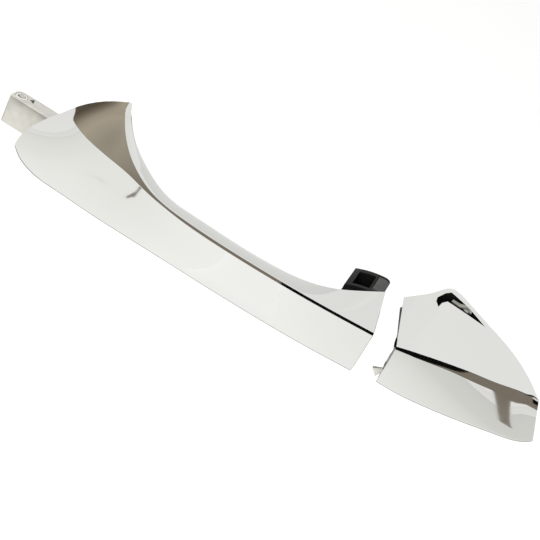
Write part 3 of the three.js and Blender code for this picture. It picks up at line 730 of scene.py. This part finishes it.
def band(name, origin, reach, stops):
    """An upright card curved round an origin.

    Each stop is an azimuth, a low and a high elevation, and a tone."""
    corners, tones = [], []
    for (a, low_a, high_a, tone_a), (b, low_b, high_b, tone_b) in zip(stops, stops[1:]):
        for i in range(BAND_STEPS + 1):
            t = i / BAND_STEPS
            for elevation in (low_a + (low_b - low_a) * t, high_a + (high_b - high_a) * t):
                corners.append(aimed(origin, reach, a + (b - a) * t, elevation))
            tones.append([p + (q - p) * t for p, q in zip(tone_a, tone_b)])
    card(name, corners, tones)


def patch(name, origin, reach, rows, tone):
    """A small card of one tone. Each row is two corners, and a corner is an azimuth and an elevation."""
    corners = [aimed(origin, reach, *corner) for row in rows for corner in row]
    card(name, corners, [tone] * len(rows))


def sheet(name, far, stops):
    """A card just above the floor, which ends at a far Y. Each stop is a place along X and a tone."""
    card(name, [(x, y, SHEET_Z) for x, _ in stops for y in (SHEET_NEAR, far)], [tone for _, tone in stops])


def panel(name, xs, ys, zs, tone):
    """A flat oblong card of one tone. Two of its spans have two ends, and the third has one place."""
    card(name, [(x, y, z) for x in xs for y in ys for z in zs], [tone] * 2)


def cards():
    band("band_left", (0.03, -0.02, 0), 0.35, [
        (-112, 8, 24, UMBER), (-98, 7.5, 29, UMBER), (-88, 7, 36, DARK_TAN), (-78, 3, 44, DULL_TAN),
        (-70, -3, 53, TAN), (-58, -6, 54, SHADED_TAN), (-46, -8, 44, WARM_BROWN), (-36, -8, 25, BROWN),
    ])
    middle, far = (0.15, -0.03, 0), 1.4
    band("band_front_left", middle, far, [(-66, -8, 24, BROWN), (-30, -9, 24, BROWN), (0.3, -8, 24, BROWN)])
    band("band_front", middle, far, [
        (0.3, -8, 24, BLACK), (16, -11, 25, BLACK), (29, -11, 21, BLACK), (32, -11.5, 18, BLACK),
        (37, -4.5, 14, BLACK), (42, -1, 8.5, BLACK), (49, 0, 5, BLACK), (55, 1, 4.5, BLACK),
        (58.5, 2.5, 4.3, BLACK), (60, 4.1, 4.2, BLACK),
    ])
    band("band_right", middle, far, [
        (32, -12, -11.5, BROWN), (37, -10, -4.5, BROWN), (42, -7, -1, BROWN), (46, -4.2, -0.4, BROWN),
        (49, -3.4, 0, BROWN), (55, -3.3, 1, BROWN), (58.5, -3, 2.5, BROWN), (60, -2.8, 4.2, BROWN),
        (66, -2.8, 4.5, BROWN),
    ])
    # The brown wedge at the cap's tail, and the small crescent on the grip's face.
    patch("stand", (0.245, -0.01, -0.01), 0.45, [
        ((54.1, -18), (54.3, -18)), ((54.4, -13), (56.6, -13)), ((54.8, -7.5), (59, -7.5)),
        ((55.5, -1), (62, -1)),
    ], BROWN)
    patch("crescent", (0.055, -0.027, -0.005), 0.43, [
        ((-52.6, -31), (-52.7, -30.4)), ((-51.4, -30.4), (-51.8, -29.8)), ((-50.2, -30.3), (-50.9, -29.7)),
    ], CRESCENT_BROWN)
    # The screen keeps band_left out of what the cap's flank mirrors.
    panel("screen", [0.16], [-0.04, 0.03], [0.03, 0.15], SCREEN_WHITE)
    sheet("table_left", 0.6, [(-1.6, SHEET_FAR_LEFT), (-0.5, SHEET_LEFT), (0.0, SHEET_MIDDLE)])
    sheet("table_right", 0.0, [
        (0.15, SHEET_MIDDLE), (0.35, SHEET_RIGHT), (0.7, SHEET_FAR_RIGHT), (1.6, SHEET_END),
    ])
    panel("card_low", [-0.6, 0.9], [0.0, 0.7], [-0.27], LOW_GREY)
    panel("card_back", [-0.6, 0.12], [0.9], [-0.16, 0.35], BACK_GREY)


# ------------------------------------------------------------------ the studio

FLOOR_Z, FLOOR_HALF = -0.30, 3
FLOOR_LOOK = dict(base=(0.92, 0.92, 0.915), rough=0.8, metallic=0.0, grain=40.0,
                  swing=0.01, rough_swing=0.05, bump=0.0)
SKY_TINT, CAMERA_SKY = (1, 1, 0.99, 1), 1.05
# The sky is a little brighter on the camera's side than behind the handle.
SKY_NEAR_Y, SKY_FAR_Y, SKY_NEAR, SKY_FAR = -0.7, 0.6, 1.06, 1.0
KEY_SIZE, KEY_POWER = 1.2, 9
KEY_PLACE, KEY_AIM = (-0.35, -0.55, 1.1), (0.1, 0, 0)


def pale_floor():
    mesh = bpy.data.meshes.new("floor")
    corners = [(-FLOOR_HALF, -FLOOR_HALF), (FLOOR_HALF, -FLOOR_HALF), (FLOOR_HALF, FLOOR_HALF),
               (-FLOOR_HALF, FLOOR_HALF)]
    mesh.from_pydata([(x, y, FLOOR_Z) for x, y in corners], [], [(0, 1, 2, 3)])
    floor = bpy.data.objects.new("floor", mesh)
    bpy.context.scene.collection.objects.link(floor)
    floor.data.materials.append(material("pale_floor", **FLOOR_LOOK))


def sky():
    """A soft white world, which the camera sees as plain white."""
    world = bpy.data.worlds.new("studio")
    bpy.context.scene.world = world
    world.use_nodes = True
    nodes, links = world.node_tree.nodes, world.node_tree.links
    nodes.clear()
    place = nodes.new("ShaderNodeTexCoord")
    split = nodes.new("ShaderNodeSeparateXYZ")
    ramp = nodes.new("ShaderNodeMapRange")
    ramp.inputs["From Min"].default_value = SKY_NEAR_Y
    ramp.inputs["From Max"].default_value = SKY_FAR_Y
    ramp.inputs["To Min"].default_value = SKY_NEAR
    ramp.inputs["To Max"].default_value = SKY_FAR
    soft = nodes.new("ShaderNodeBackground")
    soft.inputs["Color"].default_value = SKY_TINT
    plain = nodes.new("ShaderNodeBackground")
    plain.inputs["Color"].default_value = (1, 1, 1, 1)
    plain.inputs["Strength"].default_value = CAMERA_SKY
    seen = nodes.new("ShaderNodeLightPath")
    mix = nodes.new("ShaderNodeMixShader")
    end = nodes.new("ShaderNodeOutputWorld")
    links.new(place.outputs["Generated"], split.inputs["Vector"])
    links.new(split.outputs["Y"], ramp.inputs["Value"])
    links.new(ramp.outputs["Result"], soft.inputs["Strength"])
    links.new(seen.outputs["Is Camera Ray"], mix.inputs["Fac"])
    links.new(soft.outputs["Background"], mix.inputs[1])
    links.new(plain.outputs["Background"], mix.inputs[2])
    links.new(mix.outputs["Shader"], end.inputs["Surface"])


def key_light():
    data = bpy.data.lights.new("key", "AREA")
    data.shape = "SQUARE"
    data.size = KEY_SIZE
    data.energy = KEY_POWER
    key = bpy.data.objects.new("key", data)
    key.location = KEY_PLACE
    key.rotation_euler = (Vector(KEY_AIM) - key.location).to_track_quat("-Z", "Y").to_euler()
    key.visible_glossy = False
    bpy.context.scene.collection.objects.link(key)


pale_floor()
cards()
sky()
key_light()
bpy.context.scene.view_settings.view_transform = "Standard"
